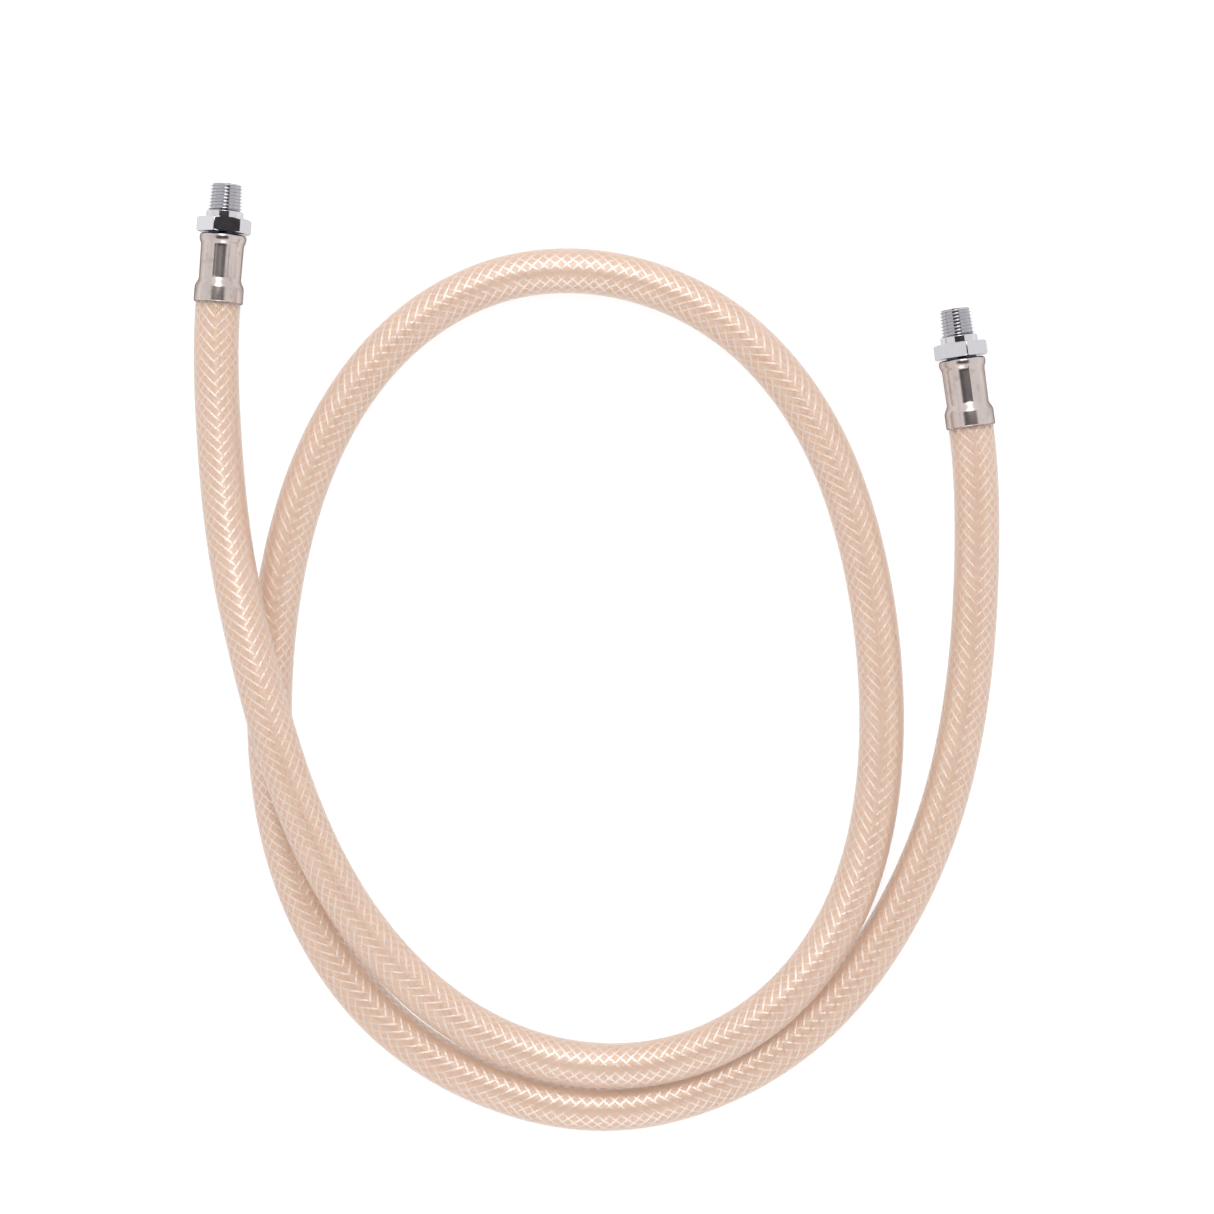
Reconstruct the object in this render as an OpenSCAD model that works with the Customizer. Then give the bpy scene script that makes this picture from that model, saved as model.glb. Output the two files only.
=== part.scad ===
// Braided hose assembly: a clear reinforced hose with the same crimped male
// pipe-thread end on each side, lying in a loose loop of one and three quarter turns.
// Each end is a one-piece stem (thread, collar, hexagon, barbed tail) and a ferrule
// that is locked in the stem's groove and crimped down over the hose and the barbs.
// Frame: +Z is up from the surface that the hose lies on, +X runs from the left end
// to the right end, and the origin is under the middle of the box round both ends.
// All sizes are in millimetres.

/* [Hose] */
// Bore of the hose
hose_bore = 12.7; // [12:0.1:14]
// Wall of the clear inner tube
liner_wall = 1.4; // [1:0.1:1.8]
// Thickness of the braided yarn sleeve
braid_wall = 0.6; // [0.4:0.05:0.9]
// Wall of the clear outer cover
cover_wall = 1.15; // [0.9:0.05:1.5]
// Share of the hose wall that is left under the crimped ferrule
squeeze = 0.56; // [0.5:0.01:0.8]

/* [Pipe thread] */
// Diameter over the crests at the hand-tight plane (1/4-18 taper pipe thread)
thread_d = 13.6; // [13.2:0.05:14.4]
// Distance from crest to crest
thread_pitch = 1.411; // [1.3:0.001:1.5]
// Depth of the thread groove
thread_depth = 1.05; // [0.6:0.05:1.1]
// Length from the tip to the collar
thread_len = 11.6; // [8:0.1:16]
// Chamfer at the tip
tip_chamfer = 0.85; // [0.4:0.05:1.2]
// Through bore of the stem
stem_bore = 8.4; // [5:0.1:9]

/* [Collar and hexagon] */
// Diameter of the smooth collar behind the thread
collar_d = 15.7; // [15:0.1:18]
// Length of the collar
collar_len = 2.9; // [1:0.1:6]
// Hexagon across flats
hex_af = 20.3; // [19:0.1:24]
// Length of the hexagon
hex_len = 6.1; // [4:0.1:10]
// How far the hexagon's corners are turned down at each face
hex_chamfer = 0.9; // [0.3:0.1:1.2]

/* [Barbed tail] */
// Open slot between the hexagon and the ferrule
slot_len = 0.65; // [0.4:0.05:1.5]
// Depth of the groove that holds the ferrule's turned-in front wall
groove_depth = 1.7; // [0.8:0.1:1.9]
// Length of the shoulder behind that groove, which the hose butts against
shoulder_len = 1.3; // [0.8:0.1:2]
// Number of barbs inside the hose
barb_count = 5; // [2:1:6]
// Distance from barb to barb
barb_pitch = 3.6; // [2.6:0.1:4]
// Height of a barb
barb_depth = 0.5; // [0.2:0.05:0.7]

/* [Ferrule] */
// Wall of the ferrule
ferrule_wall = 0.8; // [0.5:0.05:1.2]
// How far the rounded front bead stands above the crimped body
bead_rise = 0.85; // [0.3:0.05:1.2]
// Length of the front bead
bead_len = 4.4; // [3.5:0.1:6]
// Length of the crimped body
crimp_len = 14.2; // [10:0.2:24]
// How much the crimped body's radius narrows towards the bell
crimp_taper = 0.15; // [0:0.01:0.3]
// Number of crimping dies, which each leave one shallow ridge to the next
die_count = 8; // [4:1:12]
// Height of the ridges between the dies
ridge_rise = 0.12; // [0.05:0.01:0.25]
// Length of the flare from the body out to the bell
flare_len = 3.2; // [2:0.1:6]
// Length of the bell round the full hose, with its turned-in edge
bell_len = 7.2; // [4:0.1:12]
// How far the bell's edge is turned in
edge_turn = 0.6; // [0.2:0.05:0.7]

/* [Fits] */
// Clearance between round pieces that fit in one another
fit_gap = 0.1; // [0.05:0.01:0.2]

/* [Hidden] */

// ---- the lay of the hose -------------------------------------------------
// Middle of each ferrule's mouth, and the direction in which its hose leaves
left_mouth = [-159.2, 1.65];
left_heading = -94.4;
right_mouth = [159.6, -50.85];
right_heading = -82.2;
// Each hexagon rests on its lowest corner, turned this far from straight down
left_roll = 16;
right_roll = -9;
// Points that the hose passes through from the left end to the right end:
// [x, y, height of its underside above the surface]. The first strand rises over
// the second, comes down on its inside and leans on it along the front of the loop.
route = [
    [-158.5, -51, 4], [-153, -103, 11], [-141, -154, 19.5], [-126, -204, 20],
    [-104, -251, 14], [-70, -291, 9], [-25, -316, 7], [27, -319, 9],
    [74, -297, 11], [106, -256, 5], [120, -206, 0], [121, -153, 0],
    [113, -101, 0], [95, -52, 0], [62, -11, 0], [16, 12, 0],
    [-36, 13, 0], [-82, -12, 0], [-113, -54, 0], [-130, -103, 0],
    [-137, -155, 0], [-135, -208, 0], [-120, -258, 0], [-90, -301, 0],
    [-46, -329, 0], [5, -340, 0], [55, -328, 0], [98, -299, 0],
    [129, -256, 0], [149, -208, 0], [159, -156, 0], [162, -104, 0]];
// Sides of the hose's rings, and rings between two points of the route
hose_sides = 10;
rings_per_span = 2;
// Stretch along the hose within which it can't meet itself, in diameters
same_stretch = 4;

// ---- derived sizes -------------------------------------------------------
bore_r = hose_bore / 2;
liner_r = bore_r + liner_wall;
braid_r = liner_r + braid_wall;
hose_r = braid_r + cover_wall;
hose_d = 2 * hose_r;

function squeezed(r, share) = bore_r + (r - bore_r) * share;
crimp_in_r = squeezed(hose_r, squeeze) + fit_gap;
crimp_out_r = crimp_in_r + ferrule_wall;
bell_in_r = hose_r + fit_gap;
bell_out_r = bell_in_r + ferrule_wall;
bead_out_r = crimp_out_r + bead_rise;

crest_r = thread_d / 2;
flank_len = thread_depth * tan(30);
land_len = (thread_pitch - 2 * flank_len) / 2;
first_crest = tip_chamfer + land_len;
crest_count = floor((thread_len - first_crest - flank_len) / thread_pitch) + 1;
hex_r = hex_af / 2 / cos(30);
hex_start = thread_len + collar_len;
hex_end = hex_start + hex_len;
ferrule_start = hex_end + slot_len;
crimp_start = ferrule_start + bead_len;
crimp_end = crimp_start + crimp_len;
bell_start = crimp_end + flare_len;
fitting_len = bell_start + bell_len;
shoulder_r = crimp_in_r - fit_gap;
groove_r = shoulder_r - groove_depth;
shoulder_start = ferrule_start + ferrule_wall;
hose_start = shoulder_start + shoulder_len;
// the hose's facets reach nearest the barbs in the middle of each side
barb_r = bore_r * cos(180 / hose_sides) - fit_gap;
tail_end = hose_start + barb_count * barb_pitch;

plated = [0.80, 0.82, 0.86];
stainless = [0.79, 0.76, 0.74];
clear_vinyl = [0.88, 0.77, 0.69];
yarn = [0.95, 0.90, 0.84];
round_fn = 96;
// How far a bore's cutter reaches past the faces that it opens
cut_past = 1;

// Height of a fitting's axis, with its hexagon resting on one corner
function axis_height(roll) = hex_r * cos(roll);
function direction(heading) = [cos(heading), sin(heading), 0];
function mouth_point(mouth, roll) = [mouth.x, mouth.y, axis_height(roll)];
left_end = mouth_point(left_mouth, left_roll);
right_end = mouth_point(right_mouth, right_roll);
left_dir = direction(left_heading);
right_dir = direction(right_heading);

// ---- the hose's curve ----------------------------------------------------
// A uniform cubic B-spline. Its control points are moved out from the route's by a
// sixth of the bend there, so that the curve passes through the route itself.
route_points = [for (p = route) [p.x, p.y, hose_r + p.z]];
knots = concat([left_end], route_points, [right_end]);
spans = len(knots) - 1;
function control(i) = knots[i] - (knots[i - 1] - 2 * knots[i] + knots[i + 1]) / 6;
inner_controls = [for (i = [1:spans - 1]) control(i)];
// Two control points before and after make the curve leave each mouth along its axis
function end_controls(mouth, dir, next) =
    let (h = norm(next - mouth))
    [next - 2 * h * dir, 1.5 * mouth - 0.5 * next + 0.5 * h * dir];
left_controls = end_controls(left_end, left_dir, inner_controls[0]);
right_controls = end_controls(right_end, right_dir, inner_controls[spans - 2]);
controls = concat(left_controls, inner_controls, [right_controls[1], right_controls[0]]);

function curve(i, u) = (
    pow(1 - u, 3) * controls[i]
    + (3 * pow(u, 3) - 6 * pow(u, 2) + 4) * controls[i + 1]
    + (-3 * pow(u, 3) + 3 * pow(u, 2) + 3 * u + 1) * controls[i + 2]
    + pow(u, 3) * controls[i + 3]) / 6;
function slope(i, u) = (
    -pow(1 - u, 2) * controls[i]
    + (3 * pow(u, 2) - 4 * u) * controls[i + 1]
    + (-3 * pow(u, 2) + 2 * u + 1) * controls[i + 2]
    + pow(u, 2) * controls[i + 3]) / 2;
// The surface carries the hose, so no ring lies lower than its own radius
function carried(p) = [p.x, p.y, max(p.z, hose_r)];
function unit(v) = v / norm(v);

// A station is [centre, tangent, share of the wall that is left there]
free_stations = [
    for (i = [0:spans - 1], j = [0:rings_per_span - 1])
        let (u = j / rings_per_span)
        [carried(curve(i, u)), unit(slope(i, u)), 1]];
// The same three rings inside each ferrule: [distance from the tip, share of the wall]
crimped = [[hose_start, squeeze], [crimp_end, squeeze], [bell_start + fit_gap, 1]];
left_stations = [for (c = crimped)
    [left_end - (fitting_len - c[0]) * left_dir, left_dir, c[1]]];
right_stations = [for (k = [len(crimped) - 1:-1:0]) let (c = crimped[k])
    [right_end - (fitting_len - c[0]) * right_dir, -right_dir, c[1]]];
stations = concat(left_stations, free_stations, [[right_end, -right_dir, 1]],
                  right_stations);

// Ring of one layer: radius r in the free hose, less where the wall is squeezed
function ring(station, r) =
    let (t = station[1],
         side = unit(cross([0, 0, 1], t)),
         up = cross(t, side),
         rr = squeezed(r, station[2]))
    [for (k = [0:hose_sides - 1]) let (a = 360 * k / hose_sides)
        station[0] + rr * (cos(a) * up + sin(a) * side)];

// Triangles between ring a and ring b, with their sides counted from 0
function wall_faces(a, b, flip) = [for (k = [0:hose_sides - 1])
    let (m = (k + 1) % hose_sides)
    each flip
        ? [[a + k, b + k, b + m], [a + k, b + m, a + m]]
        : [[a + k, b + m, b + k], [a + k, a + m, b + m]]];

// One layer of the hose, as a tube from the inner to the outer radius
module layer(inner, outer) {
    n = len(stations);
    outside = [for (s = stations) each ring(s, outer)];
    inside = [for (s = stations) each ring(s, inner)];
    shift = n * hose_sides;
    last = (n - 1) * hose_sides;
    walls = [for (i = [0:n - 2]) each concat(
        wall_faces(i * hose_sides, (i + 1) * hose_sides, false),
        wall_faces(shift + i * hose_sides, shift + (i + 1) * hose_sides, true))];
    caps = concat(wall_faces(shift, 0, false), wall_faces(shift + last, last, true));
    polyhedron(concat(outside, inside), concat(walls, caps), convexity = 10);
}

// ---- what the lay comes to -----------------------------------------------
centres = [for (s = stations) s[0]];
function run_to(i) = i == 0 ? 0 : run_to(i - 1) + norm(centres[i] - centres[i - 1]);
runs = [for (i = [0:len(centres) - 1]) run_to(i)];
function to_segment(p, a, b) =
    let (d = b - a, t = max(0, min(1, (p - a) * d / (d * d))))
    norm(p - a - t * d);
function midway(i) = (centres[i] + centres[i + 1]) / 2;
least_gap = min([
    for (i = [0:len(centres) - 2], j = [0:len(centres) - 2])
        if (abs(runs[i] - runs[j]) > same_stretch * hose_d)
            min(to_segment(centres[i], centres[j], centres[j + 1]),
                to_segment(midway(i), centres[j], centres[j + 1]))]) - hose_d;
echo(str("Hose length from mouth to mouth: ",
         runs[len(runs) - 1 - len(crimped)] - runs[len(crimped)], " mm"));
echo(str("Least gap of the hose to itself: ", least_gap, " mm"));

// ---- the fittings --------------------------------------------------------
// Puts a fitting, drawn along +Z from its tip at 0, at its mouth and heading
module at_end(end, heading, roll) {
    translate(end)
        rotate([0, 90, heading])
            translate([0, 0, -fitting_len])
                rotate([0, 0, roll])
                    children();
}

// Crests and roots of the thread, as [radius, distance from the tip]
thread_points = [for (i = [0:crest_count - 1])
    let (s = first_crest + i * thread_pitch, half = land_len / 2)
    each [[crest_r - thread_depth, s - half - flank_len], [crest_r, s - half],
          [crest_r, s + half], [crest_r - thread_depth, s + half + flank_len]]];

// Barbs rise steeply on the thread side and slope down towards the hose
barb_points = [for (i = [0:barb_count - 1])
    let (s = hose_start + i * barb_pitch)
    each [[barb_r - barb_depth, s + 0.15 * barb_pitch], [barb_r, s + 0.25 * barb_pitch],
          [barb_r, s + 0.4 * barb_pitch], [barb_r - barb_depth, s + barb_pitch]]];

// The turned shape of the stem, without its bore
module stem_turning() {
    root_r = crest_r - thread_depth;
    rotate_extrude($fn = round_fn)
        polygon(concat(
            [[0, 0], [root_r, 0]],
            [for (p = thread_points) if (p[1] > 0 && p[1] < thread_len) p],
            [[root_r, thread_len],
             [collar_d / 2, thread_len],
             [collar_d / 2, hex_start + hex_len / 2],
             [groove_r, hex_start + hex_len / 2],
             [groove_r, shoulder_start],
             [shoulder_r, shoulder_start],
             [shoulder_r, hose_start],
             [barb_r - barb_depth, hose_start]],
            barb_points,
            [[0, tail_end]]));
}

// The cone that chamfers the first crests
module tip_envelope() {
    rotate_extrude($fn = round_fn)
        polygon([[0, 0], [crest_r - tip_chamfer, 0], [crest_r, tip_chamfer],
                 [hex_r, tip_chamfer], [hex_r, tail_end], [0, tail_end]]);
}

// The hexagon, with its corners turned down at both faces at 30 degrees
module hexagon() {
    low_r = hex_r - hex_chamfer;
    rise = hex_chamfer * tan(30);
    intersection() {
        translate([0, 0, hex_start])
            cylinder(r = hex_r, h = hex_len, $fn = 6);
        rotate_extrude($fn = round_fn)
            polygon([[0, hex_start], [low_r, hex_start], [hex_r, hex_start + rise],
                     [hex_r, hex_end - rise], [low_r, hex_end], [0, hex_end]]);
    }
}

module stem() {
    color(plated)
        difference() {
            union() {
                intersection() {
                    stem_turning();
                    tip_envelope();
                }
                hexagon();
            }
            translate([0, 0, -cut_past])
                cylinder(d = stem_bore, h = tail_end + 2 * cut_past, $fn = round_fn);
        }
}

// Points of a round, as [radius, distance from the tip]
function arc(centre, r, from, to, steps) = [for (k = [0:steps])
    let (a = from + (to - from) * k / steps)
    [centre[0] + r * cos(a), centre[1] + r * sin(a)]];

// Radius of the bead's front round, and how far its back round turns, in degrees
bead_round = bead_len / 2.6;
bead_back = 60;
// Outline of the ferrule's outside from its front wall to the turned-in edge
function ferrule_outside() = concat(
    [[groove_r + fit_gap, ferrule_start]],
    arc([bead_out_r - bead_round, ferrule_start + bead_round], bead_round, -90, 0, 6),
    arc([bead_out_r - bead_rise, crimp_start - bead_rise], bead_rise, 0, bead_back, 4),
    [[crimp_out_r, crimp_start],
     [crimp_out_r - crimp_taper, crimp_end],
     [bell_out_r - 0.15 * (bell_out_r - crimp_out_r), bell_start - 0.25 * flare_len],
     [bell_out_r, bell_start + 0.25 * flare_len],
     [bell_out_r, fitting_len - 2.5 * edge_turn],
     [bell_out_r - 0.35 * edge_turn, fitting_len - edge_turn],
     [bell_out_r - edge_turn, fitting_len]]);
function ferrule_inside() = [
    [bell_in_r, fitting_len],
    [bell_in_r, bell_start],
    [crimp_in_r, crimp_end],
    [crimp_in_r, shoulder_start],
    [groove_r + fit_gap, shoulder_start]];

module ferrule() {
    color(stainless) {
        rotate_extrude($fn = round_fn)
            polygon(concat(ferrule_outside(), ferrule_inside()));
        // the ridges between the dies, which follow the body's taper
        for (k = [0:die_count - 1])
            rotate([0, 0, 360 * k / die_count])
                translate([crimp_out_r - ridge_rise, 0, crimp_start])
                    rotate([0, -atan(crimp_taper / crimp_len), 0])
                        cylinder(r = 2 * ridge_rise, h = crimp_len, $fn = 16);
    }
}

module hose_liner() { color(clear_vinyl) layer(bore_r, liner_r); }
module hose_braid() { color(yarn) layer(liner_r, braid_r); }
module hose_cover() { color(clear_vinyl) layer(braid_r, hose_r); }
module left_stem() { at_end(left_end, left_heading, left_roll) stem(); }
module left_ferrule() { at_end(left_end, left_heading, left_roll) ferrule(); }
module right_stem() { at_end(right_end, right_heading, right_roll) stem(); }
module right_ferrule() { at_end(right_end, right_heading, right_roll) ferrule(); }

hose_liner();
hose_braid();
hose_cover();
left_stem();
left_ferrule();
right_stem();
right_ferrule();
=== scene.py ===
"""Looks of a braided hose assembly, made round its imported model.

The hose lies in a loose loop on a white table. Its wall is a clear inner tube, a braid of
polyester yarns and a clear cover. Each end is a plated stem with a taper pipe thread and a
hexagon, and a drawn ferrule that is crimped over the hose. Lengths are in metres, in the
model's own frame: +Z is up from the table and +X runs from the left end to the right end.
"""

import math

import bmesh
import bpy
import numpy as np
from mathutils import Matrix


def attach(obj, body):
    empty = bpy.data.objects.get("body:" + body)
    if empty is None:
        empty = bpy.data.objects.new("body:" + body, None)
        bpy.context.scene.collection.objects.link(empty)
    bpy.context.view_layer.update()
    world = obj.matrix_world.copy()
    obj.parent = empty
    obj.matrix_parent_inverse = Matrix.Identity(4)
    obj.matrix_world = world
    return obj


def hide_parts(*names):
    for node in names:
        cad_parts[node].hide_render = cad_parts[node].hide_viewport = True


bl_info = {
    "name": "Braided hose assembly",
    "version": (1, 0, 0),
    "blender": (4, 5, 0),
    "location": "View3D > Sidebar > Hose",
    "description": "Makes a clear braided hose with a crimped male pipe thread on each end",
    "category": "Object",
}

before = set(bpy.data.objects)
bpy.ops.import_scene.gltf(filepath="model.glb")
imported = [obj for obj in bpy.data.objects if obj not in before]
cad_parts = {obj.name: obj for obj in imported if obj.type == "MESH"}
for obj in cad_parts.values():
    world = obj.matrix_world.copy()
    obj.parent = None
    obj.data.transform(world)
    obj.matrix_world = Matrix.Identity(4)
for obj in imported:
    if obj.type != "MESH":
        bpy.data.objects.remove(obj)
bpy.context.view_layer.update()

MM = 0.001
TURN = 2 * math.pi

# ---- the lay of the hose -------------------------------------------------------------------
# Middle of each ferrule's mouth, and in degrees the way its hose leaves and its hexagon's turn
ENDS = {
    "left": {"mouth": (-0.1592, 0.00165), "heading": -94.4, "roll": 16.0},
    "right": {"mouth": (0.1596, -0.05085), "heading": -82.2, "roll": -9.0},
}
# Points that the hose passes through: x, y and the height of its underside above the table
ROUTE = (
    (-0.1585, -0.051, 0.004), (-0.153, -0.103, 0.011), (-0.141, -0.154, 0.0195),
    (-0.126, -0.204, 0.020), (-0.104, -0.251, 0.014), (-0.070, -0.291, 0.009),
    (-0.025, -0.316, 0.007), (0.027, -0.319, 0.009), (0.074, -0.297, 0.011),
    (0.106, -0.256, 0.005), (0.120, -0.206, 0.0), (0.121, -0.153, 0.0),
    (0.113, -0.101, 0.0), (0.095, -0.052, 0.0), (0.062, -0.011, 0.0),
    (0.016, 0.012, 0.0), (-0.036, 0.013, 0.0), (-0.082, -0.012, 0.0),
    (-0.113, -0.054, 0.0), (-0.130, -0.103, 0.0), (-0.137, -0.155, 0.0),
    (-0.135, -0.208, 0.0), (-0.120, -0.258, 0.0), (-0.090, -0.301, 0.0),
    (-0.046, -0.329, 0.0), (0.005, -0.340, 0.0), (0.055, -0.328, 0.0),
    (0.098, -0.299, 0.0), (0.129, -0.256, 0.0), (0.149, -0.208, 0.0),
    (0.159, -0.156, 0.0), (0.162, -0.104, 0.0),
)


# ---- colours and sizes that can be set -----------------------------------------------------
def colour(code):
    """Linear red, green, blue and alpha of an sRGB hex value."""
    srgb = np.array([int(code[i:i + 2], 16) for i in (1, 3, 5)]) / 255
    linear = np.where(srgb <= 0.04045, srgb / 12.92, ((srgb + 0.055) / 1.055) ** 2.4)
    return (*linear.tolist(), 1.0)


def length_property(name, default, description):
    """A length in metres that is shown in the scene's own unit."""
    return bpy.props.FloatProperty(
        name=name, default=default, description=description, min=0.0,
        unit="LENGTH", subtype="DISTANCE", precision=5)


def colour_property(name, code, description):
    """A colour whose default is an sRGB hex value."""
    return bpy.props.FloatVectorProperty(
        name=name, default=colour(code)[:3], description=description, size=3,
        min=0.0, max=1.0, subtype="COLOR")


class HoseSettings(bpy.types.PropertyGroup):
    """Sizes and colours of the hose."""

    bore: length_property("Bore", 0.0127, "Bore of the hose")
    liner_wall: length_property("Inner tube wall", 0.0014, "Wall of the clear inner tube")
    braid_wall: length_property("Braid", 0.0006, "Thickness of the braided yarns")
    cover_wall: length_property("Cover wall", 0.00115, "Wall of the clear outer cover")
    squeeze: bpy.props.FloatProperty(
        name="Squeeze", default=0.56, min=0.4, max=1.0, subtype="FACTOR",
        description="Share of the hose wall that is left under a crimped ferrule")
    braid_lead: length_property("Braid lead", 0.0576, "Length of one turn of a yarn")
    yarn_width: length_property("Yarn width", 0.0007, "Width of one flat yarn")
    yarns_each_way: bpy.props.IntProperty(
        name="Yarns each way", default=12, min=4, max=16,
        description="Number of yarns that wind each way round the hose")
    vinyl_colour: colour_property("Inner tube colour", "#E3C2AB", "Tint of the inner tube")
    cover_colour: colour_property("Cover colour", "#FFF9F4", "Tint of the clear cover")
    yarn_colour: colour_property("Yarn colour", "#DDBEAA", "Colour of the polyester yarn")


class FittingSettings(bpy.types.PropertyGroup):
    """Sizes and colours of the stem and the ferrule on each end."""

    thread_d: length_property("Thread", 0.0139, "Diameter over the crests at mid-length")
    thread_pitch: length_property("Pitch", 0.001411, "Distance from crest to crest")
    thread_depth: length_property("Thread depth", 0.0009, "Depth of the thread groove")
    thread_len: length_property("Thread length", 0.0116, "Length from the tip to the collar")
    tip_chamfer: length_property("Tip chamfer", 0.00085, "Chamfer at the tip")
    stem_bore: length_property("Stem bore", 0.0084, "Through bore of the stem")
    collar_d: length_property("Collar", 0.0157, "Diameter of the smooth collar")
    collar_len: length_property("Collar length", 0.0029, "Length of the collar")
    hex_af: length_property("Hexagon", 0.0203, "Hexagon across flats")
    hex_len: length_property("Hexagon length", 0.0061, "Length of the hexagon")
    hex_chamfer: length_property("Hexagon chamfer", 0.0009, "How far its corners are turned")
    slot_len: length_property("Slot", 0.00065, "Slot between hexagon and ferrule")
    groove_depth: length_property("Groove depth", 0.0017, "Groove that locks the ferrule")
    shoulder_len: length_property("Shoulder", 0.0013, "Shoulder that the hose butts against")
    barb_count: bpy.props.IntProperty(
        name="Barbs", default=5, min=2, max=8, description="Number of barbs in the hose")
    barb_pitch: length_property("Barb pitch", 0.0036, "Distance from barb to barb")
    barb_depth: length_property("Barb height", 0.0005, "Height of a barb")
    ferrule_wall: length_property("Ferrule wall", 0.0008, "Wall of the ferrule")
    bead_rise: length_property("Bead height", 0.00085, "Bead above the crimped body")
    bead_len: length_property("Bead length", 0.0044, "Length of the front bead")
    crimp_len: length_property("Crimp length", 0.0142, "Length of the crimped body")
    crimp_taper: length_property("Crimp taper", 0.00015, "Narrowing of the crimped body")
    die_count: bpy.props.IntProperty(
        name="Dies", default=8, min=4, max=12, description="Number of crimping dies")
    ridge_rise: length_property("Die ridge", 0.00012, "Ridge between two die marks")
    flare_len: length_property("Flare length", 0.0032, "Length of the flare to the bell")
    bell_len: length_property("Bell length", 0.0072, "Length of the bell round the hose")
    edge_turn: length_property("Edge turn", 0.0006, "How far the bell's edge turns in")
    fit_gap: length_property("Clearance", 0.0001, "Clearance between round pieces")
    plate_colour: colour_property("Plate colour", "#D3D1D5", "Colour of the bright plate")
    steel_colour: colour_property("Steel colour", "#D0C4C0", "Colour of the ferrules")


class StageSettings(bpy.types.PropertyGroup):
    """Place of the camera and level of the light."""

    middle: bpy.props.FloatVectorProperty(
        name="Middle of the view", default=(0.0055, -0.1271), size=2, unit="LENGTH",
        description="Point of the table that the camera looks straight down at")
    camera_height: length_property("Camera height", 1.5, "Height of the camera")
    lens: bpy.props.FloatProperty(
        name="Lens", default=104.25, min=10, description="Focal length in millimetres")
    key_power: bpy.props.FloatProperty(
        name="Key light", default=41.0, min=0, unit="POWER",
        description="Power of the narrow softbox behind the fittings")
    back_power: bpy.props.FloatProperty(
        name="Back light", default=32.0, min=0, unit="POWER",
        description="Power of the wide softbox that stands lower behind the fittings")
    front_power: bpy.props.FloatProperty(
        name="Front light", default=42.0, min=0, unit="POWER",
        description="Power of the wide softbox on the loop's side, which evens the light")
    fill: bpy.props.FloatProperty(
        name="Fill", default=0.9, min=0, description="Strength of the even light all round")


# ---- points and meshes ---------------------------------------------------------------------
def unit(vectors):
    """The vectors at length one."""
    return vectors / np.linalg.norm(vectors, axis=-1, keepdims=True)


def grid_corners(rows, columns, wrap_rows=False, seam=None):
    """Row and column of each quad's corners in a grid of points.

    Columns always wrap. A quad runs from its corner to the next column and then to the next
    row, so it faces outwards where rows run along an axis and columns turn about it. seam
    gives, for each row, the row that it meets after a full turn, and is the row itself if
    it isn't given.
    """
    i, j = np.meshgrid(np.arange(rows if wrap_rows else rows - 1), np.arange(columns),
                       indexing="ij")
    below = (i + 1) % rows
    met = np.arange(rows) if seam is None else seam
    over = j == columns - 1
    row = (i, np.where(over, met[i], i), np.where(over, met[below], below), below)
    return (np.stack(row, axis=-1).reshape(-1, 4),
            np.stack((j, j + 1, j + 1, j), axis=-1).reshape(-1, 4))


def grid_mesh(along, wrap_rows=False, seam=None):
    """Quads of a grid and the UV of their corners: U turns once round the columns, and V
    is the value that along has at each point."""
    rows, columns = along.shape
    row, column = grid_corners(rows, columns, wrap_rows, seam)
    uv = np.stack((column / columns, along[row, column % columns]), axis=-1)
    return row * columns + column % columns, uv.reshape(-1, 2)


def new_piece(name, points, faces, uv, material, replaced, slot, sharp=180.0):
    """Makes a mesh object at the origin that rides on the part's only body.

    sharp is the angle in degrees past which an edge stays sharp. Points that coincide are
    merged, which closes the ends of a thread.
    """
    mesh = bpy.data.meshes.new(name)
    mesh.from_pydata(points.reshape(-1, 3), [], faces)
    layer = mesh.uv_layers.new(name="UVMap")
    layer.data.foreach_set("uv", np.ascontiguousarray(uv, dtype=np.float32).ravel())
    shell = bmesh.new()
    shell.from_mesh(mesh)
    bmesh.ops.remove_doubles(shell, verts=shell.verts, dist=0.001 * MM)
    shell.to_mesh(mesh)
    shell.free()
    mesh.shade_smooth()
    if sharp < 180:
        mesh.set_sharp_from_angle(angle=math.radians(sharp))
    mesh.materials.append(material)
    if mesh.validate():
        raise RuntimeError(f"{name}: the mesh has faces that are not valid")
    piece = bpy.data.objects.new(name, mesh)
    bpy.context.scene.collection.objects.link(piece)
    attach(piece, "root")
    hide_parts(replaced)
    return piece


# ---- the hose's line and walls -------------------------------------------------------------
def hose_radii(hose):
    """Radii of the hose's bore, inner tube, braid and cover."""
    liner = hose.bore / 2 + hose.liner_wall
    braid = liner + hose.braid_wall
    return hose.bore / 2, liner, braid, braid + hose.cover_wall


def corner_radius(fitting):
    """Radius over the hexagon's corners: half the width across flats over cos 30 degrees."""
    return fitting.hex_af / 2 / math.cos(math.radians(30))


def end_frame(side, fitting):
    """Mouth, direction into the hose and length of the fitting on one side.

    The hexagon rests on its lowest corner, so its roll sets how high the axis lies.
    """
    end = ENDS[side]
    height = corner_radius(fitting) * math.cos(math.radians(end["roll"]))
    heading = math.radians(end["heading"])
    marks = fitting_marks(fitting)
    return (np.array([*end["mouth"], height]),
            np.array([math.cos(heading), math.sin(heading), 0.0]), marks["mouth"])


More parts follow.
